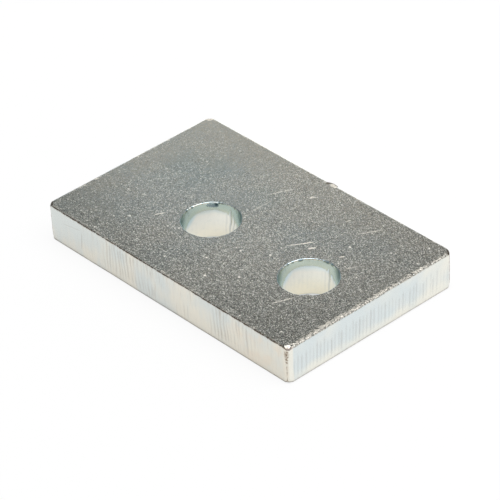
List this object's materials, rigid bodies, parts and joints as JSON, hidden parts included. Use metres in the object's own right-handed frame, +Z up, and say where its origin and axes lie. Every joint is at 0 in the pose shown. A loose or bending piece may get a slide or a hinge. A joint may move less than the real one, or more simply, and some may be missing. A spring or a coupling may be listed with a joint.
{
  "type": "pin locking plate",
  "caption": "Flat rectangular zinc-plated steel plate with offset through bolt holes, bolted beside a pin so that its edge sits in a slot and stops the pin turning or sliding out.",
  "frame": {"origin": "middle of the plate's outline, without the cut nib, on the lower (seat) face", "axes": "+X along the length towards the end that is nearer to a bolt hole, +Y across the width towards the long edge with the cut nib, +Z up through the thickness"},
  "size_m": [0.05, 0.0322, 0.006],
  "materials": {
    "zinc_steel": "bright zinc plating with a blue passivate over rolled faces and cut edges"
  },
  "bodies": {
    "root": {"locking_plate": "zinc_steel"}
  },
  "joints": []
}
